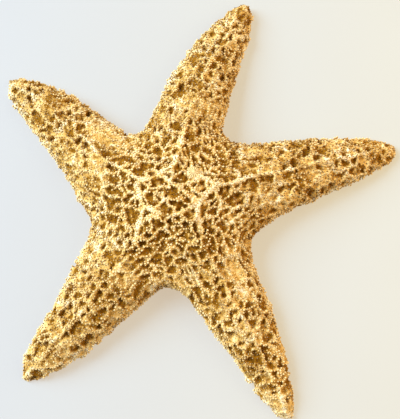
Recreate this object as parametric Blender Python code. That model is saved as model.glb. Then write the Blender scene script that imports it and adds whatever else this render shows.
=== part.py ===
# Dried five-armed starfish, lying on its flat underside. One solid, in metres, +Z up.
# The origin is on the floor, under the middle of the starfish's bounding box.
# A body cage is subdivided into a smooth five-armed body. Its skin is then divided into
# small cells: on the upper side every cell is a pit with raised borders, which together
# are the starfish's net of ridges. Underneath, the cells follow the five open grooves.

import math

import bmesh
import bpy
import numpy as np
from mathutils import Vector
from mathutils.bvhtree import BVHTree

MM = 0.001

# Arms, anticlockwise from the one nearest +X, all in millimetres and degrees.
# bearing and reach run from the disc's centre to the tip. near and far are how far the
# arm's middle line is drawn to its left at a third and two thirds of the reach.
# plump scales the width, and lift is how far the tip has curled off the floor.
ARMS = [
    {"bearing": 14.9, "reach": 115.2, "near": 1.0, "far": 1.5, "plump": 1.01, "lift": 1.0},
    {"bearing": 70.6, "reach": 114.0, "near": 11.0, "far": 10.0, "plump": 0.98, "lift": 3.0},
    {"bearing": 142.4, "reach": 108.0, "near": 11.0, "far": -4.0, "plump": 1.02, "lift": 1.0},
    {"bearing": 229.7, "reach": 110.0, "near": 2.0, "far": 1.0, "plump": 1.05, "lift": 0.5},
    {"bearing": 298.1, "reach": 116.0, "near": 1.0, "far": 4.5, "plump": 0.93, "lift": 0.5},
]
# The notch on the left of each arm: its direction from the disc's centre and how far in it is.
NOTCHES = [(52.0, 40.0), (118.0, 38.0), (190.0, 39.0), (266.0, 39.5), (334.0, 39.0)]

HALF_WIDTH = 18.5         # of an arm, at WIDTH_AT from its tip
WIDTH_AT = 60.0
TAPER = 0.45              # power of the distance from the tip that the width follows
HEIGHT_SHARE = 0.93       # an arm's height over its half width
TIP_HEIGHT = 0.4          # what the height adds to that, all along
TIP_CAP = 0.6             # how far the rounded tip goes past the arm's reach
LIFT_FROM = 0.7           # share of the reach past which a tip curls up
DISC_HEIGHT = 26.5        # top of the disc's middle
ROOT = 38.0               # distance from the disc's centre at which the arms begin
DISC_RINGS = (0.68, 0.36)  # rings of the cage inside the disc, as shares of ROOT
RINGS_FROM_TIP = (64.0, 52.0, 40.0, 28.0, 18.0, 10.0, 4.5, 1.2)
NOTCH_DROP = 1.5          # how far the disc's top sinks towards a notch
MOUTH_HEIGHT = 9.0        # how far the mouth goes up into the disc
MOUTH_LIP = 0.35          # how much of the groove's width is left at the mouth
GROOVE_SHARE = 0.36       # a groove's height in the cage over the arm's half width
SOLE = 1.0                # what the floor flattened off the cage's rounded underside
SUBDIVISIONS = 3

# An arm's section in the cage, as shares of its half width and of its height: the groove's
# lip, the foot, the side, the shoulder and the upper side. The right half mirrors the left.
LIP_SHARE = 0.23
UPPER_SHARE = 0.42
SECTION = [(LIP_SHARE, 0.0), (0.72, 0.0), (1.09, 0.34), (0.86, 0.84), (UPPER_SHARE, 1.0)]
TOP_SHARE = 1.05
NOTCH_HEIGHTS = (0.0, 0.36, 0.86)

# Cells of the skin: least distances between their middles
PITCH_ARM = 4.1
PITCH_DISC = 3.7
PITCH_TIP = 2.5
PITCH_SIDE = 3.5          # on the steep sides
PITCH_UNDER = 6.8
LEAST_UPPER = 2.9         # between the cells laid out on lines, above
LEAST_UNDER = 2.0         # and underneath
TIP_ZONE = 34.0           # how far from a tip the pits reach their full size
DISC_ZONE = 35.0          # radius where the disc's pits turn into the arms' pits
DISC_BLEND = 25.0
STEEP = 0.55              # upward share of the skin's direction below which it counts as side
STEEP_BLEND = 0.3
UNDER = -0.35             # and below which it counts as underside
PIT_DEPTH_SHARE = 0.30    # a pit's depth over its pitch
ROUGHNESS = 0.28          # random rise and fall of the ridges

# Ridges that follow the body
KEEL_STEP = 4.3           # spacing of the cells on both sides of an arm's middle ridge
KEEL_OFFSET = 2.0
KEEL_RISE = 0.55          # how far the middle ridges stand over the others
KEEL_REACH = 1.2          # how near a border is to the line of the ridge to belong to it
KEEL_SWAY = 0.5           # how far a middle ridge wanders, and over what length
KEEL_SWAY_LENGTH = 5.0
CROWN_RADIUS = 13.0       # the ridge that rings the disc's middle

# The sieve plate, a smooth button beside the crown ridge
SIEVE_BEARING = 40.0
SIEVE_DISTANCE = 15.5
SIEVE_RISE = 0.5

# Rows of cells underneath: the groove's floor, its two lips and a row out on the foot
GROOVE_START = 10.0
GROOVE_STEP = 6.0
LIP_ROW = 4.4
LIP_NARROWS = 14.0        # half width under which the lip rows close up
FOOT_ROW = 0.62           # share of the half width
FOOT_LEAST = 12.0         # least half width with a foot row
FOOT_START = 24.0

SIDE_HOLD = 2.5           # how firmly a cell keeps to its own side of a thin edge
LEAST_SHARE = 0.02        # least weight of a triangle's corner in the point where cells meet
ABOVE = 60.0              # clear of the body, above and below
BELOW = -10.0
BLOCK = 400               # points looked up at a time
SEED = 7


def half_width(arm, from_tip):
    """An arm's half width at a distance from its tip."""
    return arm["plump"] * HALF_WIDTH * (max(from_tip, 0.0) / WIDTH_AT) ** TAPER


def arm_height(arm, from_tip):
    """An arm's height at a distance from its tip."""
    return HEIGHT_SHARE * half_width(arm, from_tip) + TIP_HEIGHT


def place_on_arm(arm, along, left, height):
    """A point beside an arm's curved middle line, along it from the disc's centre."""
    share = along / arm["reach"]
    rest = 1.0 - share
    bow = 3 * share * rest * (rest * arm["near"] + share * arm["far"])
    slope = 3 * (rest * (1 - 3 * share) * arm["near"]
                 + share * (2 - 3 * share) * arm["far"]) / arm["reach"]
    turn = math.atan(slope)
    lift = arm["lift"] * (max(0.0, share - LIFT_FROM) / (1.0 - LIFT_FROM)) ** 2
    out = along - left * math.sin(turn)
    side = bow + left * math.cos(turn)
    bearing = math.radians(arm["bearing"])
    return Vector((out * math.cos(bearing) - side * math.sin(bearing),
                   out * math.sin(bearing) + side * math.cos(bearing),
                   height + lift))


def place_in_notch(notch, share, height):
    """A point on the line from the disc's centre to a notch."""
    direction, radius = notch
    angle = math.radians(direction)
    return Vector((math.cos(angle), math.sin(angle), 0.0)) * radius * share + Vector((0, 0, height))


def dome(share):
    """Height of the disc's top, from its middle (0) to where the arms begin (1)."""
    root_height = sum(arm_height(arm, arm["reach"] - ROOT) for arm in ARMS) / len(ARMS)
    return root_height + (DISC_HEIGHT - root_height) * (1 - share * share)


def groove_height(arm, along):
    """Height of the groove's roof, which drops to nothing at the tip."""
    return GROOVE_SHARE * half_width(arm, arm["reach"] - along)


def arm_ring(bm, arm, along):
    """One ring of the cage round an arm: groove, left side going up, top, right side going down."""
    width = half_width(arm, arm["reach"] - along)
    height = arm_height(arm, arm["reach"] - along)
    left = [bm.verts.new(place_on_arm(arm, along, x * width, z * height)) for x, z in SECTION]
    right = [bm.verts.new(place_on_arm(arm, along, -x * width, z * height)) for x, z in SECTION]
    groove = bm.verts.new(place_on_arm(arm, along, 0.0, groove_height(arm, along)))
    top = bm.verts.new(place_on_arm(arm, along, 0.0, TOP_SHARE * height))
    return [groove] + left + [top] + right[::-1]


def disc_ring(bm, share):
    """A ring of the cage inside the disc, on its top and underneath, four columns to an arm."""
    top, under = [], []
    for arm, notch in zip(ARMS, NOTCHES):
        along = ROOT * share
        width = half_width(arm, arm["reach"] - ROOT)
        height = dome(share)
        lip = LIP_SHARE * width * (MOUTH_LIP + (1 - MOUTH_LIP) * share)
        upper = UPPER_SHARE * width * share
        top += [bm.verts.new(place_on_arm(arm, along, -upper, height)),
                bm.verts.new(place_on_arm(arm, along, 0.0, TOP_SHARE * height)),
                bm.verts.new(place_on_arm(arm, along, upper, height)),
                bm.verts.new(place_in_notch(notch, share, height - NOTCH_DROP * share))]
        roof = groove_height(arm, ROOT)
        under += [bm.verts.new(place_on_arm(arm, along, -lip, 0.0)),
                  bm.verts.new(place_on_arm(arm, along, 0.0, roof)),
                  bm.verts.new(place_on_arm(arm, along, lip, 0.0)),
                  bm.verts.new(place_in_notch(notch, share, 0.0))]
    return top, under


def bridge(bm, inner, outer):
    """Quads between two closed rows of vertices."""
    for i in range(len(inner)):
        j = (i + 1) % len(inner)
        bm.faces.new((inner[i], outer[i], outer[j], inner[j]))


def fan(bm, middle, loop):
    """Quads from a middle vertex to a closed loop, two of the loop's edges to a quad."""
    for i in range(0, len(loop), 2):
        bm.faces.new((middle, loop[i], loop[i + 1], loop[(i + 2) % len(loop)]))


def body_cage():
    """The coarse cage of the whole body, as quads round the disc and along the arms."""
    bm = bmesh.new()
    columns = []
    for notch, arm in zip(NOTCHES, ARMS):
        height = arm_height(arm, arm["reach"] - ROOT)
        columns.append([bm.verts.new(place_in_notch(notch, 1.0, z * height)) for z in NOTCH_HEIGHTS])
    roots, top_loop, under_loop = [], [], []
    for i, arm in enumerate(ARMS):
        width = half_width(arm, arm["reach"] - ROOT)
        height = arm_height(arm, arm["reach"] - ROOT)
        left, right = columns[i], columns[i - 1]
        lips = [bm.verts.new(place_on_arm(arm, ROOT, side * LIP_SHARE * width, 0.0))
                for side in (1, -1)]
        uppers = [bm.verts.new(place_on_arm(arm, ROOT, side * UPPER_SHARE * width, height))
                  for side in (1, -1)]
        groove = bm.verts.new(place_on_arm(arm, ROOT, 0.0, groove_height(arm, ROOT)))
        top = bm.verts.new(place_on_arm(arm, ROOT, 0.0, TOP_SHARE * height))
        roots.append([groove, lips[0]] + left + [uppers[0], top, uppers[1]] + right[::-1] + [lips[1]])
        top_loop += [uppers[1], top, uppers[0], left[2]]
        under_loop += [lips[1], groove, lips[0], left[0]]
    for share in DISC_RINGS:
        top, under = disc_ring(bm, share)
        bridge(bm, top, top_loop)
        bridge(bm, under_loop, under)
        top_loop, under_loop = top, under
    crown = bm.verts.new((0.0, 0.0, DISC_HEIGHT * TOP_SHARE))
    mouth = bm.verts.new((0.0, 0.0, MOUTH_HEIGHT))
    fan(bm, crown, top_loop[-1:] + top_loop[:-1])
    fan(bm, mouth, (under_loop[-1:] + under_loop[:-1])[::-1])
    for arm, ring in zip(ARMS, roots):
        for from_tip in RINGS_FROM_TIP:
            outer = arm_ring(bm, arm, arm["reach"] - from_tip)
            bridge(bm, ring, outer)
            ring = outer
        tip_height = arm_height(arm, RINGS_FROM_TIP[-1]) / 2
        tip = bm.verts.new(place_on_arm(arm, arm["reach"] + TIP_CAP, 0.0, tip_height))
        fan(bm, tip, ring[::-1])
    bmesh.ops.recalc_face_normals(bm, faces=bm.faces)
    return bm


def smooth_body():
    """The subdivided body as arrays: vertices in millimetres, triangles and vertex normals."""
    bm = body_cage()
    mesh = bpy.data.meshes.new("cage")
    bm.to_mesh(mesh)
    bm.free()
    cage = bpy.data.objects.new("cage", mesh)
    bpy.context.scene.collection.objects.link(cage)
    rounding = cage.modifiers.new("rounding", "SUBSURF")
    rounding.levels = rounding.render_levels = SUBDIVISIONS
    body = cage.evaluated_get(bpy.context.evaluated_depsgraph_get()).to_mesh()
    for vertex in body.vertices:
        vertex.co.z = max(vertex.co.z - SOLE, 0.0)
    body.calc_loop_triangles()
    points = np.array([v.co for v in body.vertices])
    triangles = np.array([t.vertices for t in body.loop_triangles])
    normals = np.array([v.normal for v in body.vertices])
    bpy.data.objects.remove(cage)
    bpy.data.meshes.remove(mesh)
    return points, triangles, normals


def tip_distance(points):
    """Plan distance of each point from the nearest arm tip."""
    tips = np.array([place_on_arm(arm, arm["reach"], 0.0, 0.0) for arm in ARMS])
    return np.linalg.norm(points[:, None, :2] - tips[None, :, :2], axis=2).min(axis=1)


def pitches(points, normals):
    """Least distance from a cell's middle to its neighbours', at each point of the skin."""
    from_tip = np.clip(tip_distance(points) / TIP_ZONE, 0, 1)
    on_disc = np.clip((DISC_ZONE - np.linalg.norm(points[:, :2], axis=1)) / DISC_BLEND, 0, 1)
    pitch = PITCH_TIP + (PITCH_ARM - PITCH_TIP) * from_tip
    pitch += (PITCH_DISC - PITCH_ARM) * on_disc
    steep = np.clip((STEEP - normals[:, 2]) / STEEP_BLEND, 0, 1)
    pitch = np.minimum(pitch, pitch + (PITCH_SIDE - pitch) * steep)
    return np.where(normals[:, 2] < UNDER, PITCH_UNDER * (1 + from_tip) / 2, pitch)


def keel_sway(along):
    """How far an arm's middle ridge has wandered to the left of its middle line."""
    return KEEL_SWAY * math.sin(along / KEEL_SWAY_LENGTH)


def laid_out_cells(rng):
    """Plan places of the cells that follow a line of the body: (x, y, seen from below)."""
    rows = []
    for arm in ARMS:
        for along in np.arange(CROWN_RADIUS + 5.0, arm["reach"] - 5.0, KEEL_STEP):
            along += rng.uniform(-0.4, 0.4)
            for side in (1, -1):
                place = place_on_arm(arm, along, keel_sway(along) + side * KEEL_OFFSET, 0.0)
                rows.append((place.x, place.y, False))
        for along in np.arange(GROOVE_START, arm["reach"] - 4.0, GROOVE_STEP):
            width = half_width(arm, arm["reach"] - along)
            lip = LIP_ROW * min(1.0, width / LIP_NARROWS)
            lines = [0.0, lip, -lip]
            if width > FOOT_LEAST and along > FOOT_START:
                lines += [FOOT_ROW * width, -FOOT_ROW * width]
            for left in lines:
                place = place_on_arm(arm, along, left, 0.0)
                rows.append((place.x, place.y, True))
    turns = int(2 * math.pi * CROWN_RADIUS / PITCH_DISC)
    for i in range(turns):
        angle = 2 * math.pi * (i + rng.uniform(-0.15, 0.15)) / turns
        for radius in (CROWN_RADIUS - KEEL_OFFSET, CROWN_RADIUS + KEEL_OFFSET):
            rows.append((radius * math.cos(angle), radius * math.sin(angle), False))
    return rows


def cell_middles(points, triangles, normals, rng):
    """Middles of all cells: those laid out on a line first, then as many as fit between them."""
    tree = BVHTree.FromPolygons(points.tolist(), triangles.tolist())
    angle = math.radians(SIEVE_BEARING)
    sieve = Vector((math.cos(angle), math.sin(angle), 0.0)) * SIEVE_DISTANCE
    kept = np.full((len(points), 6), np.inf)
    count = 0
    for x, y, below in [(sieve.x, sieve.y, False)] + laid_out_cells(rng):
        start = Vector((x, y, BELOW if below else ABOVE))
        hit, up, _, _ = tree.ray_cast(start, Vector((0, 0, 1 if below else -1)))
        least = LEAST_UNDER if below else LEAST_UPPER
        if hit is not None and (np.linalg.norm(kept[:count, :3] - hit, axis=1) >= least).all():
            kept[count] = (*hit, *up)
            count += 1
    pitch = pitches(points, normals)
    for i in rng.permutation(len(points)):
        if (np.linalg.norm(kept[:count, :3] - points[i], axis=1) >= pitch[i]).all():
            kept[count] = (*points[i], *normals[i])
            count += 1
    return kept[:count, :3], kept[:count, 3:], sieve


def nearest_cells(points, normals, middles, ups):
    """The cell that each point of the skin belongs to."""
    own = np.hstack([points, normals * SIDE_HOLD])
    seats = np.hstack([middles, ups * SIDE_HOLD])
    blocks = np.array_split(own, len(own) // BLOCK)
    return np.concatenate([((block[:, None] - seats) ** 2).sum(axis=2).argmin(axis=1)
                           for block in blocks])


def cell_corners(points, triangles, normals, middles, ups):
    """The corners where three cells meet, and the ring of corners round each cell.
    The third result lists cells that meet a neighbour twice, which can't be walked round."""
    cells = nearest_cells(points, normals, middles, ups)[triangles]
    first, second, third = cells.T
    meeting = (first != second) & (second != third) & (third != first)
    corners, around, tangled = [], [{} for _ in middles], set()
    for triangle, trio in zip(triangles[meeting], cells[meeting]):
        place = np.hstack([points[triangle], normals[triangle] * SIDE_HOLD])
        seats = np.hstack([middles[trio], ups[trio] * SIDE_HOLD])
        gaps = ((place[:, None] - seats) ** 2).sum(axis=2)
        system = np.vstack([gaps[:, 0] - gaps[:, 1], gaps[:, 0] - gaps[:, 2], np.ones(3)])
        shares = np.clip(np.linalg.solve(system, (0, 0, 1)), LEAST_SHARE, 1)
        a, b, c = trio
        for cell, following, last in ((a, b, c), (b, c, a), (c, a, b)):
            if following in around[cell]:
                tangled.add(max(cell, following))
            around[cell][following] = (len(corners), last)
        corners.append(shares @ points[triangle] / shares.sum())
    return np.array(corners), around, sorted(tangled)


def skin_cells(points, triangles, normals, rng):
    """Middles, directions and rings of corners of all cells. Tangled cells are left out."""
    middles, ups, sieve = cell_middles(points, triangles, normals, rng)
    corners, around, tangled = cell_corners(points, triangles, normals, middles, ups)
    while tangled:
        middles, ups = np.delete(middles, tangled, axis=0), np.delete(ups, tangled, axis=0)
        corners, around, tangled = cell_corners(points, triangles, normals, middles, ups)
    rings = []
    for following in around:
        neighbour = next(iter(following))
        ring = []
        for _ in following:
            corner, neighbour = following[neighbour]
            ring.append(corner)
        rings.append(ring)
    return middles, ups, sieve, corners, rings


def keel_distance(point):
    """Plan distance of a point from the nearest arm's middle ridge or the crown ridge."""
    nearest = abs(math.hypot(point[0], point[1]) - CROWN_RADIUS)
    for arm in ARMS:
        bearing = math.radians(arm["bearing"])
        along = point[0] * math.cos(bearing) + point[1] * math.sin(bearing)
        if along < CROWN_RADIUS or along > arm["reach"]:
            continue
        line = place_on_arm(arm, along, keel_sway(along), 0.0)
        nearest = min(nearest, math.hypot(point[0] - line.x, point[1] - line.y))
    return nearest


def corner_rise(corner, up, rng):
    """How far a corner of the net stands out of the smooth body."""
    if up[2] < UNDER:
        return 0.0
    rise = rng.uniform(-ROUGHNESS, ROUGHNESS)
    if up[2] > 0 and keel_distance(corner) < KEEL_REACH:
        rise += KEEL_RISE
    return rise


def starfish():
    """Builds the starfish's skin cell by cell, as one closed mesh."""
    rng = np.random.default_rng(SEED)
    points, triangles, normals = smooth_body()
    middles, ups, sieve, corners, rings = skin_cells(points, triangles, normals, rng)
    depths = PIT_DEPTH_SHARE * pitches(middles, ups) * rng.uniform(0.75, 1.2, len(middles))
    depths[ups[:, 2] < UNDER] = 0.0
    on_sieve = np.linalg.norm(middles[:, :2] - (sieve.x, sieve.y), axis=1) < SIEVE_RISE
    depths[on_sieve & (ups[:, 2] > 0)] = -SIEVE_RISE
    corner_ups = np.zeros_like(corners)
    for ring, up in zip(rings, ups):
        corner_ups[ring] += up
    corner_ups /= np.linalg.norm(corner_ups, axis=1, keepdims=True)
    bm = bmesh.new()
    raised = [bm.verts.new((corner + up * corner_rise(corner, up, rng)) * MM)
              for corner, up in zip(corners, corner_ups)]
    for middle, up, ring, depth in zip(middles, ups, rings, depths):
        pit = bm.verts.new((middle - up * depth) * MM)
        for a, b in zip(ring, ring[1:] + ring[:1]):
            bm.faces.new((raised[a], raised[b], pit))
    bmesh.ops.recalc_face_normals(bm, faces=bm.faces)
    for vertex in bm.verts:
        vertex.co.z = max(vertex.co.z, 0.0)
    places = np.array([vertex.co for vertex in bm.verts])
    middle = (places.min(axis=0) + places.max(axis=0)) / 2
    bmesh.ops.translate(bm, verts=bm.verts, vec=(-middle[0], -middle[1], -places[:, 2].min()))
    mesh = bpy.data.meshes.new("starfish")
    bm.to_mesh(mesh)
    bm.free()
    body = bpy.data.objects.new("starfish", mesh)
    bpy.context.scene.collection.objects.link(body)
    return body


def dried_skin():
    """Sun-dried skin: sandy tan, dull, and chalky to the touch."""
    material = bpy.data.materials.new("dried_skin")
    material.use_nodes = True
    shader = material.node_tree.nodes["Principled BSDF"]
    shader.inputs["Base Color"].default_value = (0.60, 0.36, 0.11, 1.0)
    shader.inputs["Roughness"].default_value = 0.85
    shader.inputs["Metallic"].default_value = 0.0
    return material


for leftover in list(bpy.data.objects):
    bpy.data.objects.remove(leftover)
starfish().data.materials.append(dried_skin())
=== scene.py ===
import math

import bpy
import numpy as np
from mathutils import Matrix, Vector, noise
from mathutils.bvhtree import BVHTree
from mathutils.kdtree import KDTree


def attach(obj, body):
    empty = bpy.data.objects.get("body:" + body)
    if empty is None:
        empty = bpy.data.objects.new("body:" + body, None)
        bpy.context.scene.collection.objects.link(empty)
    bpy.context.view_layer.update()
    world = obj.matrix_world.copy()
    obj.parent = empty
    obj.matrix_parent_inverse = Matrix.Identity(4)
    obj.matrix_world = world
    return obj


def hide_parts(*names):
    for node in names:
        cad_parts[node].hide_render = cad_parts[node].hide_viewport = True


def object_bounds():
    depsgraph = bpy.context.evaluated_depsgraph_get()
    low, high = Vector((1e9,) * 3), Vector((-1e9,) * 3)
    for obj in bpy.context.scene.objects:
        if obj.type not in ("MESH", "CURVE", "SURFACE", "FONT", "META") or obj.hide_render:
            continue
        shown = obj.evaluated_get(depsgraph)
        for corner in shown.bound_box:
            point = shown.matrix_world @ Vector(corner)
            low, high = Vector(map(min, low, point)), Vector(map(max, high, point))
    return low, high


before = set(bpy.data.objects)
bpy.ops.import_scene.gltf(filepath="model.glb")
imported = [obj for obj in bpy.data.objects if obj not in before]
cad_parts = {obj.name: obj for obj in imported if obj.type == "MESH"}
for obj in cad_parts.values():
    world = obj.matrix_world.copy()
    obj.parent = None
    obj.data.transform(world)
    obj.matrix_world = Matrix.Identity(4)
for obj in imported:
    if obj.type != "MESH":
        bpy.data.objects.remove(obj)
cad_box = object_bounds()


# View
# The photo looks down on the starfish from the side of its two lower arms, 77 degrees above
# the table and about half a metre away. One of its pixels is half a millimetre there.
PIXEL = 0.0005
LONG_SIDE = 419
SENSOR = 36
ELEVATION = math.radians(77)
DISTANCE = 0.48
AIM = Vector((-0.0003, -0.0030, 0.0))

bpy.ops.object.select_all(action="DESELECT")
bpy.ops.object.camera_add()
camera = bpy.context.object
camera.name = "camera"
camera.location = AIM + DISTANCE * Vector((0, -math.cos(ELEVATION), math.sin(ELEVATION)))
camera.rotation_euler = (math.pi / 2 - ELEVATION, 0, 0)
camera.data.sensor_width = SENSOR
camera.data.lens = SENSOR * DISTANCE / (PIXEL * LONG_SIDE)
camera.data.clip_start = 0.01
bpy.context.scene.camera = camera


# Skin
# One limy hide over a net of small plates, grown whole with the disc and the five arms. As it
# dried, the hide sank between the plates into pits, and the plates stand up as rounded ridges.
MM = 0.001
SEED = 11
WELD = 0.000002                      # the solid's vertices nearer than this, in metres, are one
DISC = np.array([-12.75, -2.51])     # the disc's middle, in millimetres
# Bearings are in degrees. Near and far bow an arm's middle line, keel is where its middle ridge
# starts, and tan is how much browner its pegs are.
ARMS = [
    {"name": "right", "bearing": 14.9, "reach": 115.2, "near": 1.0, "far": 1.5, "keel": 22,
     "tan": 0.5},
    {"name": "top", "bearing": 70.6, "reach": 114.0, "near": 11.0, "far": 10.0, "keel": 26,
     "tan": 0.2},
    {"name": "upper_left", "bearing": 142.4, "reach": 108.0, "near": 11.0, "far": -4.0, "keel": 18,
     "tan": 0.0},
    {"name": "lower_left", "bearing": 229.7, "reach": 110.0, "near": 2.0, "far": 1.0, "keel": 27,
     "tan": 0.0},
    {"name": "lower_right", "bearing": 298.1, "reach": 116.0, "near": 1.0, "far": 4.5, "keel": 35,
     "tan": 0.0},
]
CROWN = np.array([-12.0, 0.5])       # middle of the ridges that ring the disc's top
CROWN_RADIUS = 16.0
# The ring on the disc, a ridge across it, three that lead to the arms and one across the top arm.
CROWN_LINES = [
    [(-21.0, 9.0), (-30.5, 3.9), (-27.6, -7.7), (-14.5, -12.4), (-1.5, -6.1), (8.6, 4.4),
     (-3.6, 9.9)],
    [(-21.0, 9.0), (-9.8, 2.7), (-1.5, -6.1)],
    [(-21.0, 9.0), (-15.1, 12.8), (-11.6, 18.1), (-10.4, 25.2)],
    [(-27.6, -7.7), (-29.6, -15.0), (-30.9, -23.2)],
    [(-1.5, -6.1), (-0.8, -14.0), (2.0, -24.0), (5.2, -32.6)],
    [(-13.0, 61.5), (-6.0, 63.0), (1.0, 61.8), (8.5, 60.0)],
]
KEEL_SWAY = 0.5                      # how far an arm's middle ridge wanders, and how often
KEEL_SWAY_LENGTH = 5.0
KEEL_HALF_WIDTH = 1.1
KEEL_EDGE = (0.6, 1.6)               # where its side starts and ends, over the half width
KEEL_HEIGHT = 0.45
KEEL_WARP = 0.7                      # how far it strays with the other ridges
KEEL_FACING = (0.3, 0.6)             # it fades where the hide turns down
KEEL_BROKEN = 0.3                    # how much lower it is on the arms than on the disc
KEEL_LUMPS = (0.9, 7.0, 6)           # and how much it rises and falls: amount, length and seed
CROWN_HALF_WIDTH = 1.0
CROWN_PLATE = 0.6                    # how much wider the crown's ridges are where they meet
BLEACHED = 9.0                       # how far round the crown the hide is bleached
HALF_WIDTH = 18.5                    # of an arm, WIDTH_AT from its tip
WIDTH_AT = 60.0
TAPER = 0.45
LIP_SHARE = 0.23                     # half a groove's width over the arm's
LIP_LEAST = 0.9
LIP_AT_MOUTH = 0.4                   # a groove starts this narrow, as a share, and widens
LIP_WIDENS = 60.0
LIP_EDGE = (0.9, 1.1)                # where the groove's wall starts and ends, over the half width
RUNG_LENGTH = 3.2                    # from one rung in a groove's roof to the next
RUNG_SLANT = 0.35
RUNG_HEIGHT = 0.35
GROOVE_HEIGHT = 7.0
GROOVE_FROM = 4                      # how far from the disc's middle the grooves start
GROOVE_WALL = 1.3                    # dents this near a groove, in half widths, aren't pits
MOUTH_RADIUS = 5.5
MOUTH_EDGE = 1.0
BOX_CLEAR = 0.05                     # between the outermost points and the solid's box
LET_OUT = 0.8                        # how much of what rounding draws in is let out before it
SUNK = 0.3                           # how deep a vertex of the solid lies to be a pit's middle
INSET_TOP = 0.55                     # the solid's crests are the spinelets' tips
INSET_FLANK = 0.8
INSET_UNDER = 0.7
LEAST_DROP = 0.15                    # the ridges stay this far inside the solid's crests
FLANK = (0.05, 0.65)                 # how far up the hide faces where a flank is full, and gone
SOLE = (-0.55, -0.15)                # and the same for the sole
FLAT = -0.4                          # hide that faces down more than this lies on the table
LUMPS = [(0.25, 1.2, 2), (0.30, 2.8, 3), (0.60, 9.0, 4)]    # the hide's: height, length and seed
PIT_DEPTH = (0.42, 0.85)             # of a pit, as shares of its width
PIT_WIDTH = 1.7                      # over the distance from its middle to its borders
PIT_REACH = (0.6, 3.0)               # least and greatest of that distance
FLANK_SHALLOW = 0.35                 # how much shallower pits are on the flanks, in the notches
NOTCH_SHALLOW = 0.3                  # between the arms and at the tips
TIP_SHALLOW = 0.5
WEIGHTS = (-1.5, 4.0)                # a pit with more weight takes more room from the others
MISSING = 0.10                       # share of the solid's pits that are merged with others
EXTRA_GAP = 5.0                      # small pits that come between the solid's
EXTRA_CLEAR = 1.8
EXTRA_UNDER = 0.1                    # they end before the sole
EXTRA_WEIGHTS = (-1.4, 0.4)
NOTCH_BEARINGS = np.array([52.0, 118.0, 190.0, 266.0, 334.0])
NOTCH_SPREAD = 34.0                  # degrees
NOTCH_STRETCH = 0.45
NOTCH_START = (10.0, 20.0)           # from the disc's middle
NOTCH_END = (42.0, 52.0)
FIELD_GAP = 6.0                      # pits lie in fields, with strong ridges between the fields
WEAK = (0.30, 1.10)                  # strength of the ridges inside a field
CREST = (0.13, 0.18)                 # half a ridge's width over the pit's, on disc and arms
FLOOR = 0.92                         # and where its wall meets the pit's floor
WARP = 1.5                           # how far the ridges stray from straight lines
WARP_LENGTH = 2.4
DISC_EDGE = (26.0, 44.0)             # where the disc turns into the arms
NEIGHBOURS = 6
SHALLOW_DEPTH = 0.4                  # the arms' shallow pits, as a share of the others
SHALLOW_SHARE = 0.4                  # and how many pits are shallow
SHALLOW_PATCHES = (0.85, 12.0, 5)    # they lie in patches: how strongly, how large, and the seed
OPENNESS = (0.7, 1.0)
TIP = (2.0, 14.0)                    # how far from its point a tip starts and ends
TIP_FULLER = 1.0                     # how far the tips are let out
FULLER = 0.4                         # how far the outer part of an arm's flanks is let out
FULLER_TO = (28.0, 46.0)
OUTLINE_LUMPS = (0.6, 4.5, 7)        # how far, over what length and with what seed flanks waver
SWELL_FACING = (-0.95, -0.6)         # the flanks' swells end where the hide turns flat below
# Where the flanks swell or draw in: x, y, spread and how far.
SWELLS = [
    (-61, 2, 11, 2.6), (-59, -23, 7, 1.2), (-63, -33, 7, 1.2), (-14, -46, 8, -2.4),
    (-5, -53, 8, -1.4), (14, 34, 9, -2.4), (15, 52, 10, -1.0), (-36, 35, 12, -1.8),
    (27, -20, 9, -1.8), (28, 30, 7, -0.8), (43, -77, 12, -2.2), (24, -92, 12, 0.7),
    (-76, -57, 12, -1.4), (-87, -74, 9, 0.9), (-54, -74, 12, 1.2), (-14, 63, 8, 1.6),
    (-5, 78, 9, 1.1), (25, 89, 9, 1.2), (-92, 49, 9, 1.3), (-65, 56, 12, 1.1), (33, -48, 8, 1.0),
]
SIEVE_PLACE = (-3.6, 9.9)
SIEVE_RADIUS = 2.9
SIEVE_COLLAR = 0.8                   # width of the smooth hide round the sieve plate
SHADE = 0.87                         # of the pits' floors: their own brown, deepened with painted shade
RIM_PALER = 0.3                      # how much paler the pits are painted at the arms' edges, a painted light
ARMS_PALER = 0.07                    # and on the arms
UNDER_SHADE = (0.22, 0.3, 0.18)      # of the sole, what the grooves add, and the painted shade in the hollows between their rungs
DISC_BLEACH = 0.1
CROWN_BLEACH = 0.15
KEEL_BLEACH = (0.6, 0.25)            # on the disc, and how much less on the arms
# painted light that makes the arms' edges paler, for light thrown up from the table
EDGE_LIGHT_PAINT = 0.8
NOTCH_SHADE = 0.9                     # how much of the edges' painted light is taken off in the notches, which lie in shade


def smooth_step(low, high, values):
    """0 at low, 1 at high, and an even bend between them."""
    share = np.clip((values - low) / (high - low), 0, 1)
    return share * share * (3 - 2 * share)


def field(mesh, name, width):
    """A vertex property of a mesh as an array."""
    values = np.empty(len(mesh.vertices) * width)
    mesh.vertices.foreach_get(name, values)
    return values.reshape(-1, width)


def ripple(places, length, seed):
    """Soft noise from -1 to 1 at each place, with lumps about as long as length."""
    shift = Vector((seed * 7.3, seed * 3.1, seed * 5.7))
    return np.array([noise.noise(Vector(place) / length + shift) for place in places])


def on_arm(arm, places):
    """Plan distances of places along an arm from the disc's middle, and left of its middle line."""
    bearing = math.radians(arm["bearing"])
    x, y = (places[:, :2] - DISC).T
    along = x * math.cos(bearing) + y * math.sin(bearing)
    left = y * math.cos(bearing) - x * math.sin(bearing)
    share = np.clip(along / arm["reach"], 0, 1)
    bow = 3 * share * (1 - share) * ((1 - share) * arm["near"] + share * arm["far"])
    return along, left - bow


def groove_lip(arm, along):
    """Half the width of the groove under an arm. It narrows to the tip and to the mouth."""
    from_tip = np.maximum(arm["reach"] - along, 0)
    lip = LIP_SHARE * HALF_WIDTH * (from_tip / WIDTH_AT) ** TAPER
    return np.maximum(lip * np.minimum(1, LIP_AT_MOUTH + along / LIP_WIDENS), LIP_LEAST)


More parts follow.
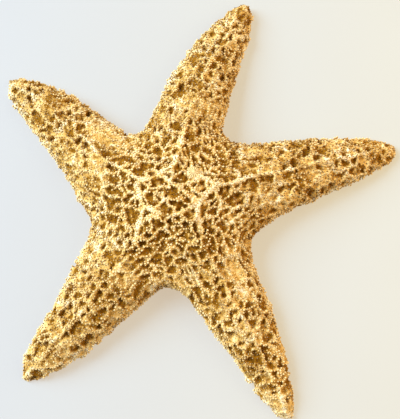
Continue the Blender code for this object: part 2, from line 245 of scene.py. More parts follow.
def keel_nearness(places):
    """1 on an arm's middle ridge or on the crown ridge, and 0 away from them."""
    distance = np.full(len(places), np.inf)
    for line in CROWN_LINES:
        for start, end in zip(np.array(line), np.array(line[1:])):
            run = end - start
            share = np.clip((places[:, :2] - start) @ run / (run @ run), 0, 1)
            away = np.linalg.norm(places[:, :2] - start - share[:, None] * run, axis=1)
            distance = np.minimum(distance, away)
        for knot in np.array(line):
            at_knot = np.linalg.norm(places[:, :2] - knot, axis=1) - CROWN_PLATE
            distance = np.minimum(distance, at_knot)
    distance *= KEEL_HALF_WIDTH / CROWN_HALF_WIDTH
    for arm in ARMS:
        along, left = on_arm(arm, places)
        away = np.abs(left - KEEL_SWAY * np.sin(along / KEEL_SWAY_LENGTH))
        away[(along < arm["keel"]) | (along > arm["reach"])] = np.inf
        distance = np.minimum(distance, away)
    return 1 - smooth_step(KEEL_HALF_WIDTH * KEEL_EDGE[0], KEEL_HALF_WIDTH * KEEL_EDGE[1], distance)


skin = bpy.data.objects.new("skin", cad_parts["starfish"].data.copy())
bpy.context.scene.collection.objects.link(skin)
bpy.ops.object.select_all(action="DESELECT")
bpy.context.view_layer.objects.active = skin
skin.select_set(True)
bpy.ops.mesh.customdata_custom_splitnormals_clear()
bpy.ops.object.mode_set(mode="EDIT")
bpy.ops.mesh.select_all(action="SELECT")
bpy.ops.mesh.remove_doubles(threshold=WELD)
bpy.ops.object.mode_set(mode="OBJECT")

# The solid's pits are found and filled, and the skin is let out by what rounding draws in.
rough = field(skin.data, "co", 3) / MM
outward = field(skin.data, "normal", 3)
ends = np.array([edge.vertices for edge in skin.data.edges])
around = np.zeros_like(rough)
touching = np.zeros(len(rough))
for here, there in (ends.T, ends.T[::-1]):
    np.add.at(around, here, rough[there])
    np.add.at(touching, here, 1)
sunk = ((around / touching[:, None] - rough) * outward).sum(axis=1)
is_pit = sunk > SUNK
for arm in ARMS:
    along, left = on_arm(arm, rough)
    beside_groove = (along < 0) | (np.abs(left) > GROOVE_WALL * groove_lip(arm, along))
    is_pit &= (rough[:, 2] > GROOVE_HEIGHT) | beside_groove
rough[is_pit] += outward[is_pit] * sunk[is_pit, None]
pits = rough[is_pit]
skin.data.vertices.foreach_set("co", (rough * MM).ravel())
rounding = skin.modifiers.new("rounding", "SUBSURF")
rounding.levels = rounding.render_levels = 2
rounded = skin.evaluated_get(bpy.context.evaluated_depsgraph_get()).data
drawn_in = rough - field(rounded, "co", 3)[:len(rough)] / MM
on_sole = outward[:, 2] < FLAT
drawn_in[on_sole] = (drawn_in * outward).sum(axis=1)[on_sole, None] * outward[on_sole]
skin.data.vertices.foreach_set("co", ((rough + LET_OUT * drawn_in) * MM).ravel())
bpy.ops.object.modifier_apply(modifier="rounding")
bpy.ops.object.shade_smooth()

# Where each place of the rounded skin lies: on a flank, on the sole or on an arm's edge.
places = field(skin.data, "co", 3) / MM
outward = field(skin.data, "normal", 3)
facing = outward[:, 2]
flank = 1 - smooth_step(*FLANK, facing)
under = 1 - smooth_step(*SOLE, facing)
rim = flank * (1 - under)
rng = np.random.default_rng(SEED)
noise.seed_set(SEED)


def tree_of(spots):
    """A search tree over places."""
    tree = KDTree(len(spots))
    for index, spot in enumerate(spots):
        tree.insert(spot, index)
    tree.balance()
    return tree


def spread_out(order, spots, gaps):
    """The spots kept, taken in order, so that none is within the gap of one kept before it."""
    tree = tree_of(spots)
    taken = np.zeros(len(spots), bool)
    kept = []
    for index in order:
        if not taken[index]:
            kept.append(index)
            for _, other, _ in tree.find_range(spots[index], gaps[index]):
                taken[other] = True
    return np.array(kept)


def in_notch(spots):
    """1 in the zones that run from the disc to the notches between the arms, 0 on the arms."""
    x, y = (spots[:, :2] - DISC).T
    radius = np.hypot(x, y)
    turned = np.degrees(np.arctan2(y, x))[:, None] - NOTCH_BEARINGS
    off = np.abs((turned + 180) % 360 - 180).min(axis=1)
    bend = np.cos(np.minimum(off / NOTCH_SPREAD, 1) * math.pi / 2) ** 2
    return bend * smooth_step(*NOTCH_START, radius) * (1 - smooth_step(*NOTCH_END, radius))


def drawn_out(spots):
    """The spots with the notch zones stretched outwards. Even pits there are squat on the hide."""
    shifted = spots.copy()
    from_middle = spots[:, :2] - DISC
    radius = np.linalg.norm(from_middle, axis=1)
    inner = NOTCH_START[0]
    pull = NOTCH_STRETCH * in_notch(spots) * (1 - inner / np.maximum(radius, inner))
    shifted[:, :2] += from_middle * pull[:, None]
    return shifted


# The pits are most of the solid's, and small ones in the widest gaps. They lie in fields.
pits = drawn_out(pits[rng.uniform(0, 1, len(pits)) > MISSING])
weights = rng.uniform(*WEIGHTS, len(pits))
even_places = drawn_out(places)
pit_tree = tree_of(pits)
clear = np.array([pit_tree.find(place)[2] for place in even_places])
free = np.flatnonzero((clear > EXTRA_CLEAR) & (under < EXTRA_UNDER))
gaps = np.full(len(free), EXTRA_GAP)
extras = even_places[free[spread_out(rng.permutation(len(free)), even_places[free], gaps)]]
pits = np.vstack([pits, extras])
weights = np.append(weights, rng.uniform(*EXTRA_WEIGHTS, len(extras)))
pit_tree = tree_of(pits)
heads = spread_out(rng.permutation(len(pits)), pits, np.full(len(pits), FIELD_GAP))
head_tree = tree_of(pits[heads])
field_of = np.array([head_tree.find(pit)[1] for pit in pits])
depth_share = rng.uniform(*PIT_DEPTH, len(pits))
strength_seed = rng.uniform(0, 1, len(pits))


def borders(spots):
    """Each spot's pit, the pits round it and how far the spot is inside the borders to them."""
    near = [pit_tree.find_n(spot, NEIGHBOURS) for spot in spots]
    who = np.array([[found[1] for found in row] for row in near])
    power = np.array([[found[2] for found in row] for row in near]) ** 2 - weights[who]
    rank = power.argsort(axis=1)
    who = np.take_along_axis(who, rank, axis=1)
    power = np.take_along_axis(power, rank, axis=1)
    apart = np.linalg.norm(pits[who[:, 1:]] - pits[who[:, :1]], axis=2)
    return who[:, 0], who[:, 1:], (power[:, 1:] - power[:, :1]) / (2 * apart)


# The net of ridges runs along the borders between the pits, strongest between the fields.
reach = np.clip(borders(pits)[2][:, :3].mean(axis=1), *PIT_REACH)
warp = np.array([noise.noise_vector(Vector(place) / WARP_LENGTH) for place in places]) * WARP
pit_of, beside, edge = borders(even_places + warp)
weak = WEAK[0] + (WEAK[1] - WEAK[0]) * np.abs(strength_seed[pit_of, None] - strength_seed[beside])
strengths = np.where(field_of[pit_of, None] == field_of[beside], np.minimum(weak, 1), 1)
from_disc = np.linalg.norm(places[:, :2] - DISC, axis=1)
on_arms = smooth_step(*DISC_EDGE, from_disc)
from_tip = np.full(len(places), np.inf)
for arm in ARMS:
    along, left = on_arm(arm, places)
    from_tip = np.minimum(from_tip, np.hypot(arm["reach"] - along, left))
at_tip = 1 - smooth_step(*TIP, from_tip)
patchy, patch_length, patch_seed = SHALLOW_PATCHES
chance = rng.uniform(0, 1, len(pits)) + patchy * ripple(pits, patch_length, patch_seed)
openness = np.where(chance < SHALLOW_SHARE, SHALLOW_DEPTH, 1.0)
openness = 1 - on_arms * (1 - openness[pit_of] * rng.uniform(*OPENNESS, len(pits))[pit_of])
crest = CREST[0] + (CREST[1] - CREST[0]) * on_arms
bowls = strengths * (1 - smooth_step(crest[:, None], FLOOR, edge / reach[pit_of, None]))
ridge = bowls.max(axis=1)
strong = np.take_along_axis(strengths, bowls.argmax(axis=1)[:, None], axis=1)[:, 0]

# The taller ridges are the arms' middle ridges, the crown's and the sieve plate's collar.
keel = keel_nearness(places + KEEL_WARP * warp) * smooth_step(*KEEL_FACING, facing)
rise, rise_length, rise_seed = KEEL_LUMPS
broken = KEEL_BROKEN * on_arms - rise * ripple(places, rise_length, rise_seed)
keel *= np.clip(1 - broken, 0, 1)
from_sieve = np.linalg.norm(places[:, :2] - SIEVE_PLACE, axis=1)
collar = 1 - smooth_step(SIEVE_RADIUS, SIEVE_RADIUS + SIEVE_COLLAR, from_sieve)
keel = np.maximum(keel, (facing > 0) * collar)
ridge = np.maximum(ridge, keel)
strong = np.maximum(strong, keel)

# How deep each place lies under the solid's surface: the pits, the grooves and their rungs.
sink = (1 - ridge) * (1 - under) * openness
notch = in_notch(places)
depth = depth_share[pit_of] * PIT_WIDTH * reach[pit_of]
depth *= (1 - FLANK_SHALLOW * flank) * (1 - NOTCH_SHALLOW * notch)
inset = INSET_TOP + (INSET_FLANK - INSET_TOP) * flank + (INSET_UNDER - INSET_FLANK) * under
lumps = sum(height * ripple(places, length, seed) for height, length, seed in LUMPS)
in_groove = np.zeros(len(places))
rungs = np.zeros(len(places))
for arm in ARMS:
    along, left = on_arm(arm, places)
    inside = (along > GROOVE_FROM) & (along < arm["reach"])
    own = inside * (1 - smooth_step(*LIP_EDGE, np.abs(left) / groove_lip(arm, along))) * under
    in_groove = np.maximum(in_groove, own)
    rungs += own * np.cos(2 * math.pi * (along + RUNG_SLANT * np.abs(left)) / RUNG_LENGTH)
in_mouth = 1 - smooth_step(MOUTH_RADIUS - MOUTH_EDGE, MOUTH_RADIUS, from_disc)
in_groove = np.maximum(in_groove, under * in_mouth)
drop = inset + RUNG_HEIGHT * rungs + depth * sink * (1 - TIP_SHALLOW * at_tip)
drop -= lumps * (1 - under) + KEEL_HEIGHT * keel + TIP_FULLER * at_tip

# The flanks waver, and swell or draw in where the photo's outline does.
wavering, waver_length, waver_seed = OUTLINE_LUMPS
swell = wavering * ripple(places, waver_length, waver_seed)
for x, y, spread, amount in SWELLS:
    swell += amount * np.exp(-(np.linalg.norm(places[:, :2] - (x, y), axis=1) / spread) ** 2)
swell *= flank * smooth_step(*SWELL_FACING, facing)
swell += rim * FULLER * (1 - smooth_step(*FULLER_TO, from_tip))
drop -= swell
drop = np.maximum(drop, LEAST_DROP - TIP_FULLER * at_tip - np.maximum(swell, 0))
skin_places = places - outward * drop[:, None]
low, high = np.array(cad_box) / MM
skin_places = np.clip(skin_places, low + BOX_CLEAR, high - BOX_CLEAR)
skin.data.vertices.foreach_set("co", (skin_places * MM).ravel())

# Colour follows the shapes: brown pits deepened with painted shade, darker grooves with painted
# shade between their rungs, ridges paled by bleach, and painted light on the arms' edges.
shade = sink * (1 - RIM_PALER * rim) * (1 - ARMS_PALER * on_arms)
shade += under * (UNDER_SHADE[0] + UNDER_SHADE[1] * in_groove + UNDER_SHADE[2] * rungs)
shade *= SHADE
from_crown = np.linalg.norm(places[:, :2] - CROWN, axis=1)
on_crown = 1 - smooth_step(CROWN_RADIUS, CROWN_RADIUS + BLEACHED, from_crown)
bleach_and_edge_light = (DISC_BLEACH * (1 - on_arms) + CROWN_BLEACH * on_crown) * (1 - flank)
bleach_and_edge_light = np.maximum(bleach_and_edge_light, keel * (KEEL_BLEACH[0] - KEEL_BLEACH[1] * on_arms))
# The arms' edges are painted paler, a painted light, with less of it in the notches between the
# arms.
painted_edge_light = rim * (1 - NOTCH_SHADE * notch)
bleach_and_edge_light = np.maximum(bleach_and_edge_light, EDGE_LIGHT_PAINT * painted_edge_light)
for name, values in (("sink", shade), ("bleach_and_edge_light", bleach_and_edge_light)):
    attribute = skin.data.attributes.new(name, "FLOAT", "POINT")
    attribute.data.foreach_set("value", values)
skin.data.update()


def linear(code):
    """An sRGB hex colour as linear red, green, blue and alpha."""
    shares = [int(code[i:i + 2], 16) / 255 for i in (0, 2, 4)]
    return [s / 12.92 if s <= 0.04045 else ((s + 0.055) / 1.055) ** 2.4 for s in shares] + [1]


def add_node(tree, kind, inputs, stops=(), **settings):
    """Adds a node with its settings. An input is given a value or a link, a ramp its stops from
    low to high."""
    made = tree.nodes.new(kind)
    for name, value in settings.items():
        setattr(made, name, value)
    for name, value in inputs.items():
        if isinstance(value, bpy.types.NodeSocket):
            tree.links.new(value, made.inputs[name])
        else:
            made.inputs[name].default_value = value
    for index, (position, code) in enumerate(stops):
        if index > 1:
            made.color_ramp.elements.new(1.0)
        made.color_ramp.elements[index].position = position
        made.color_ramp.elements[index].color = linear(code)
    return made


# Noise is scaled in lumps a metre: 420 is about 2.4 mm a lump, 70 is 14 mm and 1400 is 0.7 mm.
MOTTLE = 420.0
MOTTLE_SHARE = 0.96
PATCH = 70.0
PATCH_SHARE = 1.15
# bleach on the disc and ridges, and the painted light on the arms' edges, lift the colour
BLEACH_AND_LIGHT_SHARE = -0.32
TAKEN_OFF = 0.805                    # so that even hide lies a quarter up the ramp of colours
GRIT = 1400.0
GRIT_HEIGHT = 0.0005                 # in metres


def dried_hide():
    """Dried hide over lime plates. It is dull and sandy, brown in the pits and paled by bleach on
    the ridges, with mottling, paler and darker patches, and a fine grit. Painted shade deepens the
    pits and grooves, and painted light makes the arms' edges paler."""
    material = bpy.data.materials.new("dried_hide")
    material.use_nodes = True
    tree = material.node_tree
    shader = tree.nodes["Principled BSDF"]
    place = add_node(tree, "ShaderNodeTexCoord", {}).outputs["Object"]
    sink = add_node(tree, "ShaderNodeAttribute", {}, attribute_name="sink").outputs["Fac"]
    mottle = add_node(tree, "ShaderNodeTexNoise", {"Vector": place, "Scale": MOTTLE, "Detail": 3.0})
    patch = add_node(tree, "ShaderNodeTexNoise", {"Vector": place, "Scale": PATCH, "Detail": 3.0})
    fine = add_node(tree, "ShaderNodeMath", {
        0: mottle.outputs["Fac"], 1: MOTTLE_SHARE, 2: sink}, operation="MULTIPLY_ADD")
    bleach_and_edge_light = add_node(tree, "ShaderNodeAttribute", {}, attribute_name="bleach_and_edge_light").outputs["Fac"]
    both = add_node(tree, "ShaderNodeMath", {
        0: patch.outputs["Fac"], 1: PATCH_SHARE, 2: fine.outputs[0]}, operation="MULTIPLY_ADD")
    lifted = add_node(tree, "ShaderNodeMath", {
        0: bleach_and_edge_light, 1: BLEACH_AND_LIGHT_SHARE, 2: both.outputs[0]}, operation="MULTIPLY_ADD")
    spread = add_node(tree, "ShaderNodeMath", {0: lifted.outputs[0], 1: TAKEN_OFF},
                      operation="SUBTRACT")
    ramp = add_node(tree, "ShaderNodeValToRGB", {"Fac": spread.outputs[0]},
                    stops=[(0.0, "faecc8"), (0.13, "ecdebc"), (0.13, "f6dea2"),
                           (0.39, "dcb262"), (0.65, "92620c")])
    tree.links.new(ramp.outputs["Color"], shader.inputs["Base Color"])
    grit = add_node(tree, "ShaderNodeTexNoise", {"Vector": place, "Scale": GRIT, "Detail": 4.0})
    bump = add_node(tree, "ShaderNodeBump", {"Height": grit.outputs["Fac"],
                                             "Distance": GRIT_HEIGHT, "Strength": 1.0})
    tree.links.new(bump.outputs["Normal"], shader.inputs["Normal"])
    shader.inputs["Roughness"].default_value = 0.85
    shader.inputs["Specular IOR Level"].default_value = 0.15
    return material


skin.data.materials.clear()
skin.data.materials.append(dried_hide())
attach(skin, "root")
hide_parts("starfish")


# Spinelets
# Blunt limy pegs, one to a plate, that stand in rows along the ridges. They grew from the
# plates, and are the palest part because they bleach first. On the arms' edges a painted light
# makes them paler still.
PEG_SIDES = 6
PEG_ROOT = 0.3                       # how deep a peg goes into the skin
SPINELET_GAP = (1.05, 1.45)
SPINELET_RADIUS = (0.42, 0.62)
SPINELET_RIDGE = 0.72                # they stand where the ridges are at least this high
SPINELET_MIX = 0.12                  # how far chance mixes the order from the highest ridge down
SPINELET_LEAST = (0.25, 0.6)         # least height, and how much more at the arms' edges
SPINELET_TALL = (0.75, 1.0)          # share of the room to the solid's surface that they fill
SPINELET_TILT = 0.16
WEAK_RADIUS = 0.6                    # size of the ones on the weakest ridges, as shares
WEAK_HEIGHT = 0.4
SPINELET_DIRT_AND_LIGHT = (0.6, 0.6, -1.7)     # in pits, partly painted shade; at the arms' edges; and the painted light on those edges
UPPER = 0.4                          # the pegs of the upper side end where the sole begins
TONE = (0.16, 0.4)                   # brownness of pegs on the disc, and how much more off it
TONE_PATCHES = (0.7, 9.0, 8)         # how much it wavers, over what length, and the seed
TONE_CHANCE = 0.55
TONE_RANGE = (-0.5, 1.6)
TONE_SHARE = -0.5                    # of the way up the ramp of colours
RISE_SHARE = 0.8
PEG_GRIT = 2600.0                    # about 0.4 mm a lump


def peg(name, rings):
    """A peg of unit height and radius, extruded ring by ring. A ring is its rise and radius."""
    bpy.ops.object.select_all(action="DESELECT")
    bpy.ops.mesh.primitive_circle_add(vertices=PEG_SIDES, radius=rings[0][1], fill_type="NGON")
    made = bpy.context.object
    made.name = name
    bpy.ops.object.mode_set(mode="EDIT")
    bpy.ops.mesh.select_all(action="SELECT")
    for (low, inner), (high, outer) in zip(rings, rings[1:]):
        bpy.ops.mesh.extrude_region_move(TRANSFORM_OT_translate={"value": (0, 0, high - low)})
        bpy.ops.transform.resize(value=(outer / inner, outer / inner, 1), center_override=(0, 0, 0))
    bpy.ops.mesh.select_all(action="SELECT")
    bpy.ops.mesh.normals_make_consistent(inside=False)
    bpy.ops.object.mode_set(mode="OBJECT")
    bpy.ops.object.shade_smooth()
    rise = made.data.attributes.new("rise", "FLOAT", "POINT")
    rise.data.foreach_set("value", [vertex.co.z for vertex in made.data.vertices])
    return made


def planting(pattern):
    """Geometry nodes that stand a copy of the pattern on each point, as real geometry."""
    group = bpy.data.node_groups.new("planting", "GeometryNodeTree")
    group.interface.new_socket("Geometry", in_out="INPUT", socket_type="NodeSocketGeometry")
    group.interface.new_socket("Geometry", in_out="OUTPUT", socket_type="NodeSocketGeometry")
    start = add_node(group, "NodeGroupInput", {})
    source = add_node(group, "GeometryNodeObjectInfo", {"Object": pattern})
    turn = add_node(group, "GeometryNodeInputNamedAttribute", {"Name": "turn"},
                    data_type="QUATERNION")
    size = add_node(group, "GeometryNodeInputNamedAttribute", {"Name": "size"},
                    data_type="FLOAT_VECTOR")
    copies = add_node(group, "GeometryNodeInstanceOnPoints", {
        "Points": start.outputs[0], "Instance": source.outputs["Geometry"],
        "Rotation": turn.outputs[0], "Scale": size.outputs[0]})
    real = add_node(group, "GeometryNodeRealizeInstances", {"Geometry": copies.outputs[0]})
    add_node(group, "NodeGroupOutput", {"Geometry": real.outputs[0]})
    return group


def plant(name, pattern, roots, directions, widths, heights, dirt_and_light=0.0):
    """One piece of many pegs: each with its root, direction, width and height in millimetres.
    Dirt and light from 0 to 1 make them darker, and below 0 paler: their dirt, with the painted
    shade and painted light that the spinelets and grains are given."""
    mesh = bpy.data.meshes.new(name)
    mesh.from_pydata((roots * MM).tolist(), [], [])
    turns = [Vector(way).to_track_quat("Z", "Y") for way in directions]
    sizes = np.column_stack([widths, widths, heights]) * MM
    off_disc = smooth_step(*DISC_EDGE, np.linalg.norm(roots[:, :2] - DISC, axis=1))
    wavering, length, seed = TONE_PATCHES
    tones = TONE[0] + TONE[1] * off_disc + wavering * ripple(roots, length, seed)
    tones += rng.uniform(-TONE_CHANCE, TONE_CHANCE, len(roots))
    tones = np.clip(tones + dirt_and_light, *TONE_RANGE)
    for attribute, kind, key, values in (("turn", "QUATERNION", "value", np.array(turns)),
                                         ("size", "FLOAT_VECTOR", "vector", sizes),
                                         ("tone", "FLOAT", "value", tones)):
        mesh.attributes.new(attribute, kind, "POINT").data.foreach_set(key, values.ravel())
    piece = bpy.data.objects.new(name, mesh)
    bpy.context.scene.collection.objects.link(piece)
    bpy.ops.object.select_all(action="DESELECT")
    bpy.context.view_layer.objects.active = piece
    piece.select_set(True)
    planted = piece.modifiers.new("planting", "NODES")
    planted.node_group = planting(pattern)
    bpy.ops.object.modifier_apply(modifier="planting")
    corners = np.clip(field(piece.data, "co", 3), low * MM, high * MM)
    piece.data.vertices.foreach_set("co", corners.ravel())
    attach(piece, "root")
    return piece


def lime(name, root, neck, middle, tip):
    """Dried lime: chalky and pale at the tip, darker and yellower where it joins the hide. Its
    grey neck meets the cleaner middle at a step."""
    material = bpy.data.materials.new(name)
    material.use_nodes = True
    tree = material.node_tree
    shader = tree.nodes["Principled BSDF"]
    rise = add_node(tree, "ShaderNodeAttribute", {}, attribute_name="rise").outputs["Fac"]
    tone = add_node(tree, "ShaderNodeAttribute", {}, attribute_name="tone").outputs["Fac"]
    shade = add_node(tree, "ShaderNodeMath", {0: tone, 1: TONE_SHARE, 2: rise},
                     operation="MULTIPLY_ADD")
    share = add_node(tree, "ShaderNodeMath", {0: shade.outputs[0], 1: RISE_SHARE},
                     operation="MULTIPLY")
    ramp = add_node(tree, "ShaderNodeValToRGB", {"Fac": share.outputs[0]},
                    stops=[(0.08, root), (0.48, neck), (0.48, middle), (0.8, tip)])
    tree.links.new(ramp.outputs["Color"], shader.inputs["Base Color"])
    place = add_node(tree, "ShaderNodeTexCoord", {}).outputs["Object"]
    grit = add_node(tree, "ShaderNodeTexNoise", {"Vector": place, "Scale": PEG_GRIT, "Detail": 2.0})
    bump = add_node(tree, "ShaderNodeBump", {"Height": grit.outputs["Fac"], "Distance": 0.0001,
                                             "Strength": 0.6})
    tree.links.new(bump.outputs["Normal"], shader.inputs["Normal"])
    shader.inputs["Roughness"].default_value = 0.8
    shader.inputs["Specular IOR Level"].default_value = 0.12
    return material


def thinned(order, gap):
    """The skin's vertices that are kept, taken in order, with gaps between them in a range."""
    gaps = rng.uniform(*gap, len(order))
    return order[spread_out(range(len(order)), skin_places[order], gaps)]


def scatter(name, pattern, kept, tilt, widths, heights, dirt_and_light):
    """Stands pegs on the kept vertices of the skin, as one piece for each arm."""
    ways = outward[kept] + rng.normal(0, tilt, (len(kept), 3))
    ways /= np.linalg.norm(ways, axis=1, keepdims=True)
    roots = skin_places[kept] - ways * PEG_ROOT
    x, y = (roots[:, :2] - DISC).T
    turned = np.degrees(np.arctan2(y, x))[:, None] - np.array([arm["bearing"] for arm in ARMS])
    nearest_arm = np.abs((turned + 180) % 360 - 180).argmin(axis=1)
    for number, arm in enumerate(ARMS):
        own = nearest_arm == number
        plant(name + "_" + arm["name"], pattern, roots[own], ways[own], widths[own],
              heights[own] + PEG_ROOT, dirt_and_light[own] + arm["tan"] * on_arms[kept[own]])


blunt_peg = peg("blunt_peg", [(0.0, 0.75), (0.7, 1.0), (1.0, 0.5)])
blunt_peg.data.materials.append(lime("lime", "aa803a", "d0b78a", "e2c380", "f3dfae"))
upper = (under < UPPER) & (from_sieve > SIEVE_RADIUS)
found = np.flatnonzero(upper & (ridge > SPINELET_RIDGE))
order = found[np.argsort(rng.uniform(0, SPINELET_MIX, len(found)) - ridge[found])]
kept = thinned(order, SPINELET_GAP)
widths = rng.uniform(*SPINELET_RADIUS, len(kept)) * (WEAK_RADIUS + (1 - WEAK_RADIUS) * strong[kept])
heights = rng.uniform(*SPINELET_TALL, len(kept)) * (WEAK_HEIGHT + (1 - WEAK_HEIGHT) * strong[kept])
heights *= np.maximum(drop[kept] + swell[kept], SPINELET_LEAST[0] + SPINELET_LEAST[1] * rim[kept])
in_pits, at_edge, edge_light_weight = SPINELET_DIRT_AND_LIGHT
# Pegs in the pits are darker, partly a painted shade; on the arms' edges they are painted paler, a
# painted light, and in the notches between the arms darker, a painted shade.
dirt_and_light = in_pits * sink[kept] + at_edge * rim[kept] + edge_light_weight * painted_edge_light[kept]
scatter("spinelets", blunt_peg, kept, SPINELET_TILT, widths, heights, dirt_and_light)


# Grains
# Small limy grains that sit on the hide between the ridges, down the walls of the pits. They
# make the dried hide look sandy.
GRAIN_GAP = (0.85, 1.4)
GRAIN_RADIUS = (0.28, 0.46)
GRAIN_HEIGHT = (0.25, 0.5)
GRAIN_TILT = 0.2
GRAIN_CLEAR = 0.75                   # from the nearest spinelet
# Grains are brown in the disc's pits, deepened with painted shade, less so on the arms, and
# paler with painted light on the arms' edges.
GRAIN_DIRT_AND_LIGHT = (1.6, 0.7, -1.1)
GRAIN_SUNK = (0.25, 0.75)            # how deep in a pit the brown starts, and is full

grain = peg("grain", [(0.0, 0.9), (0.6, 1.0), (1.0, 0.5)])
grain.data.materials.append(lime("sandy_lime", "6e4604", "baa784", "c6963a", "f4d48e"))
spinelet_tree = tree_of(skin_places[kept])
clear = np.array([spinelet_tree.find(place)[2] for place in skin_places])
found = np.flatnonzero(upper & (clear > GRAIN_CLEAR))
kept = thinned(rng.permutation(found), GRAIN_GAP)
widths = rng.uniform(*GRAIN_RADIUS, len(kept))
heights = rng.uniform(*GRAIN_HEIGHT, len(kept))
# Grains in the pits are brown deepened with painted shade, and on the arms' edges painted paler.
dirt_and_light = (GRAIN_DIRT_AND_LIGHT[0] - GRAIN_DIRT_AND_LIGHT[1] * on_arms[kept]) * smooth_step(*GRAIN_SUNK, sink[kept])
dirt_and_light += GRAIN_DIRT_AND_LIGHT[2] * painted_edge_light[kept]
scatter("grains", grain, kept, GRAIN_TILT, widths, heights, dirt_and_light)


# Sole grains
# Flat limy plates that pave the underside between the grooves. They grew in the hide as the
# grains of the upper side did, but larger and closer, and the starfish lies on them.
SOLE_GAP = (1.0, 1.5)
SOLE_RADIUS = (0.44, 0.66)
SOLE_HEIGHT = (0.35, 0.65)
SOLE_TILT = 0.1
SOLE_DIRT = 0.1
SOLE_UNDER = 0.5                     # they start this far under the rounded edge
OUT_OF_GROOVE = 0.3

found = np.flatnonzero((under > SOLE_UNDER) & (in_groove < OUT_OF_GROOVE))
kept = thinned(rng.permutation(found), SOLE_GAP)
widths = rng.uniform(*SOLE_RADIUS, len(kept))
heights = rng.uniform(*SOLE_HEIGHT, len(kept))
scatter("sole_grains", blunt_peg, kept, SOLE_TILT, widths, heights, np.full(len(kept), SOLE_DIRT))


# Groove spines
# Two rows of slim limy spines on each lip of the five grooves. In life they close over the
# soft feet, and here they have dried folded over the open groove.
GROOVE_START = 9.0
GROOVE_END = 5.0                     # from the arm's tip
GROOVE_STEP = 1.5
SPINE_ROWS = ((0.7, 0.25, 0.75), (2.1, -0.35, 0.4))    # distance from the lip, lean and length
SPINE_LENGTH = (0.85, 1.1)           # over the row's length and half the groove's width
SPINE_RADIUS = (0.32, 0.42)
SPINE_TILT = 0.08
SPINE_SEAT = 0.45                    # how far above the sole's edge they start
SPINE_CLEAR = 0.3                    # between their tips and the table
LIP_TOP = 3.0                        # hide higher than this isn't the groove's lip

slim_peg = peg("slim_peg", [(0.0, 0.9), (0.5, 1.0), (0.85, 0.8), (1.0, 0.4)])
slim_peg.data.materials.append(lime("groove_lime", "a8732f", "cfb288", "e2bb78", "f8e2b0"))
faces = [list(face.vertices) for face in skin.data.polygons]
hide_tree = BVHTree.FromPolygons(skin_places.tolist(), faces)


def underside(place):
    """Where the hide is, seen from straight below a plan place."""
    return hide_tree.ray_cast(Vector((*place, -10)), Vector((0, 0, 1)))[0]


def arm_place(arm, along, left):
    """Plan place beside an arm's middle line."""
    bearing = math.radians(arm["bearing"])
    share = along / arm["reach"]
    side = left + 3 * share * (1 - share) * ((1 - share) * arm["near"] + share * arm["far"])
    return DISC + (along * math.cos(bearing) - side * math.sin(bearing),
                   along * math.sin(bearing) + side * math.cos(bearing))


roots = []
ways = []
heights = []
for arm in ARMS:
    for along in np.arange(GROOVE_START, arm["reach"] - GROOVE_END, GROOVE_STEP):
        lip = float(groove_lip(arm, np.array(along)))
        middle = arm_place(arm, along, 0)
        for side in (1, -1):
            for row, (out, lean, length) in enumerate(SPINE_ROWS):
                place = arm_place(arm, along + 0.5 * row * GROOVE_STEP, side * (lip + out))
                hit = underside(place)
                if hit is not None and hit.z < LIP_TOP:
                    across = Vector((*(middle - place), 0)).normalized()
                    across = (across + Vector((0, 0, lean))).normalized()
                    roots.append(hit + Vector((0, 0, SPINE_SEAT)))
                    ways.append(across + Vector(rng.normal(0, SPINE_TILT, 3)))
                    heights.append(length * lip * rng.uniform(*SPINE_LENGTH))
roots = np.array(roots)
ways = np.array(ways)
heights = np.array(heights)
ways[:, 2] = np.maximum(ways[:, 2], (SPINE_CLEAR - roots[:, 2]) / heights)
plant("groove_spines", slim_peg, roots, ways, rng.uniform(*SPINE_RADIUS, len(roots)), heights)


# Mouth spines
# Stout limy spines on the five jaws between the grooves, pointing at the mouth. They grew as the
# ends of the rows of groove spines.
JAW_RADIUS = 6.2
JAW_BEARINGS = (43, 107, 186, 264, 336)
JAW_SPREAD = (-24, -16, -8, 0, 8, 16, 24)
JAW_LEAST = 0.4                      # least height of a jaw's edge above the table
JAW_SEAT = 0.3                       # how far above that edge the spines start
JAW_RISE = 0.12
JAW_SPINE_RADIUS = (0.4, 0.5)
JAW_SPINE_LENGTH = (3.2, 4.2)

roots = []
ways = []
for bearing in JAW_BEARINGS:
    for turn in JAW_SPREAD:
        angle = math.radians(bearing + turn)
        place = DISC + JAW_RADIUS * np.array([math.cos(angle), math.sin(angle)])
        hit = underside(place)
        roots.append((hit.x, hit.y, max(hit.z, JAW_LEAST) + JAW_SEAT))
        ways.append((-math.cos(angle), -math.sin(angle), JAW_RISE))
widths = rng.uniform(*JAW_SPINE_RADIUS, len(roots))
heights = rng.uniform(*JAW_SPINE_LENGTH, len(roots))
plant("mouth_spines", slim_peg, np.array(roots), np.array(ways), widths, heights)
for pattern in (blunt_peg, grain, slim_peg):
    bpy.data.objects.remove(pattern)


# Sieve plate
# A limy button with winding grooves, through which the living animal drew in water. It sits
# beside the disc's middle, flat on the hide.
SIEVE_HEIGHT = 0.8
SIEVE_GROOVES = 14
SIEVE_WIND = (1.6, 7, 1.2, 3)        # how far its grooves wind, and how often, outwards and round
SIEVE_MIDDLE = (0.12, 0.4)           # they start this far from its middle, over its radius
SIEVE_CUT = 0.6                      # their depth over its height
SIEVE_PALE = 0.95

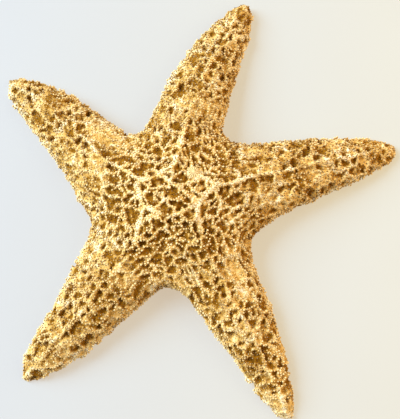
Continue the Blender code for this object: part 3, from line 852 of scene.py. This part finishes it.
bpy.ops.object.select_all(action="DESELECT")
bpy.ops.mesh.primitive_uv_sphere_add(segments=84, ring_count=32, radius=1.0)
sieve = bpy.context.object
sieve.name = "sieve_plate"
ball = field(sieve.data, "co", 3)
angle = np.arctan2(ball[:, 1], ball[:, 0])
out = np.hypot(ball[:, 0], ball[:, 1])
outwards, out_waves, round_it, round_waves = SIEVE_WIND
wind = SIEVE_GROOVES * angle + outwards * np.sin(out_waves * out)
wind += round_it * np.sin(round_waves * angle)
cut = np.maximum(np.cos(wind), 0) * smooth_step(*SIEVE_MIDDLE, out)
seat, lean, _, _ = hide_tree.ray_cast(Vector((*SIEVE_PLACE, 60)), Vector((0, 0, -1)))
ball[:, :2] *= SIEVE_RADIUS
ball[:, 2] *= SIEVE_HEIGHT * (1 - SIEVE_CUT * cut)
turn = np.array(lean.to_track_quat("Z", "Y").to_matrix())
sieve.data.vertices.foreach_set("co", ((ball @ turn.T + np.array(seat)) * MM).ravel())
bpy.ops.object.shade_smooth()
# The winding grooves are painted darker than the ridges between them, a painted shade in them.
groove = sieve.data.attributes.new("rise", "FLOAT", "POINT")
groove.data.foreach_set("value", SIEVE_PALE * (1 - cut))
sieve.data.materials.append(lime("sieve_lime", "b08a48", "d2bb8d", "e2c68a", "efdaa8"))
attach(sieve, "root")


# Table
# A plain sheet of matt paper, far wider than the view. Its own glow, warmer to the right, is a
# painted light that thins and warms the shadows.
TABLE_SIZE = 4.0
GLOW_WIDTH = 0.2                     # the light under the paper turns from cool to warm over this
GLOW = 0.62
CLOUD = 9.0                          # lumps a metre of the paper's unevenness, about 11 cm each

bpy.ops.object.select_all(action="DESELECT")
bpy.ops.mesh.primitive_plane_add(size=TABLE_SIZE)
table = bpy.context.object
table.name = "table"


def pale_paper():
    """Matt paper, blue-grey under its glow, with a faint unevenness. The glow is a painted light in
    place of a light table under it: it thins and warms the shadows, and turns warmer towards the
    right."""
    material = bpy.data.materials.new("pale_paper")
    material.use_nodes = True
    tree = material.node_tree
    shader = tree.nodes["Principled BSDF"]
    place = add_node(tree, "ShaderNodeTexCoord", {}).outputs["Object"]
    cloud = add_node(tree, "ShaderNodeTexNoise", {"Vector": place, "Scale": CLOUD})
    ramp = add_node(tree, "ShaderNodeValToRGB", {"Fac": cloud.outputs["Fac"]},
                    stops=[(0.3, "678298"), (0.7, "6a859b")])
    tree.links.new(ramp.outputs["Color"], shader.inputs["Base Color"])
    shader.inputs["Roughness"].default_value = 0.9
    across = add_node(tree, "ShaderNodeSeparateXYZ", {"Vector": place})
    share = add_node(tree, "ShaderNodeMath", {0: across.outputs["X"], 1: 1 / GLOW_WIDTH, 2: 0.5},
                     operation="MULTIPLY_ADD")
    glow = add_node(tree, "ShaderNodeValToRGB", {"Fac": share.outputs[0]},
                    stops=[(0.0, "f3dfcb"), (1.0, "fee1b4")])
    tree.links.new(glow.outputs["Color"], shader.inputs["Emission Color"])
    shader.inputs["Emission Strength"].default_value = GLOW
    return material


table.data.materials.append(pale_paper())


# Light
# Soft daylight from a large window on the left, with a warm wall on the right giving some back.
def soft_light(name, bearing, elevation, distance, size, energy, color):
    """A square area light that faces the origin. Angles are in degrees."""
    bpy.ops.object.light_add(type="AREA")
    light = bpy.context.object
    light.name = name
    turn = math.radians(bearing)
    height = math.radians(elevation)
    way = Vector((math.cos(turn) * math.cos(height), math.sin(turn) * math.cos(height),
                  math.sin(height)))
    light.location = distance * way
    light.rotation_euler = way.to_track_quat("Z", "Y").to_euler()
    light.data.size = size
    light.data.energy = energy
    light.data.color = color


soft_light("window", bearing=158, elevation=38, distance=2.2, size=1.6, energy=90.0,
           color=(0.90, 0.98, 1.0))
soft_light("warm_wall", bearing=5, elevation=34, distance=0.5, size=0.45, energy=2.1,
           color=(1.0, 0.64, 0.25))

world = bpy.data.worlds.new("room")
world.use_nodes = True
backdrop = world.node_tree.nodes["Background"]
backdrop.inputs["Color"].default_value = linear("f6f3ee")
backdrop.inputs["Strength"].default_value = 0.4
bpy.context.scene.world = world
bpy.context.scene.view_settings.view_transform = "Standard"
